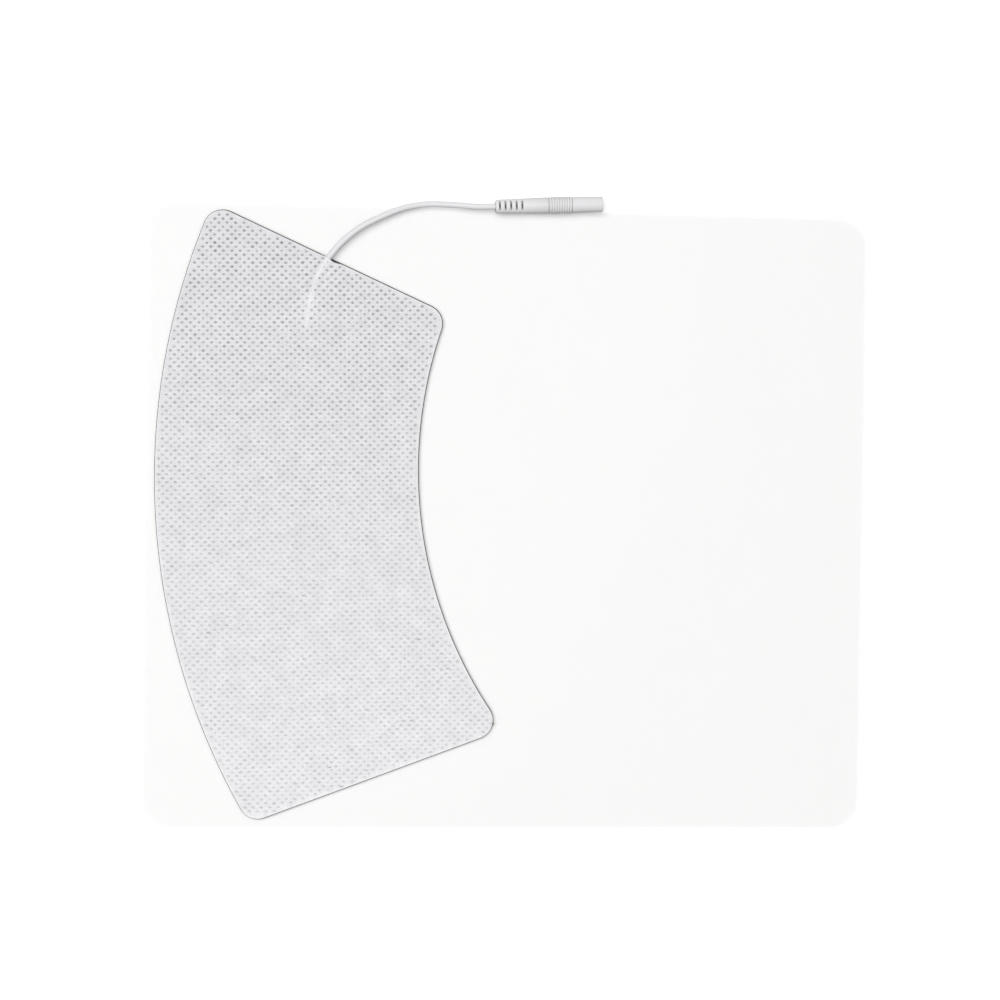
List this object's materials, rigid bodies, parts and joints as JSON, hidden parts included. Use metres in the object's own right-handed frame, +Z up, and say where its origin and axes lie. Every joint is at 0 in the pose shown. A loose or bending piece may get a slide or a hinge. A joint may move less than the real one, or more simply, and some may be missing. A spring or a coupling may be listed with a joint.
{
  "type": "tens electrode pad",
  "caption": "Curved self-adhesive nerve stimulation pad of embossed white fabric on a clear liner, with a short pale lead and a moulded socket connector.",
  "frame": {"origin": "middle of the release liner's underside, on the surface that it lies on", "axes": "+Z up out of the fabric side, +X along the liner's long side away from the pad, +Y towards the edge with the connector"},
  "size_m": [0.22, 0.1935, 0.0052],
  "materials": {
    "clear_film": "clear film, slightly wavy",
    "hydrogel": "clear tacky gel",
    "carbon_film": "matt black conductive film",
    "nonwoven_fabric": "white spunbond nonwoven with staggered emboss points",
    "lead_jacket": "pale satin flexible plastic",
    "connector_plastic": "pale moulded plastic, semi-gloss",
    "brass": "bright rolled brass",
    "tinned_copper": "tinned copper strands"
  },
  "bodies": {
    "root": {"release_liner": "clear_film", "hydrogel_layer": "hydrogel", "carbon_film": "carbon_film", "backing_fabric": "nonwoven_fabric", "conductor_strands": "tinned_copper", "lead_wire": "lead_jacket", "connector_housing": "connector_plastic", "socket_sleeve": "brass", "crimped_conductor": "tinned_copper"}
  },
  "joints": []
}
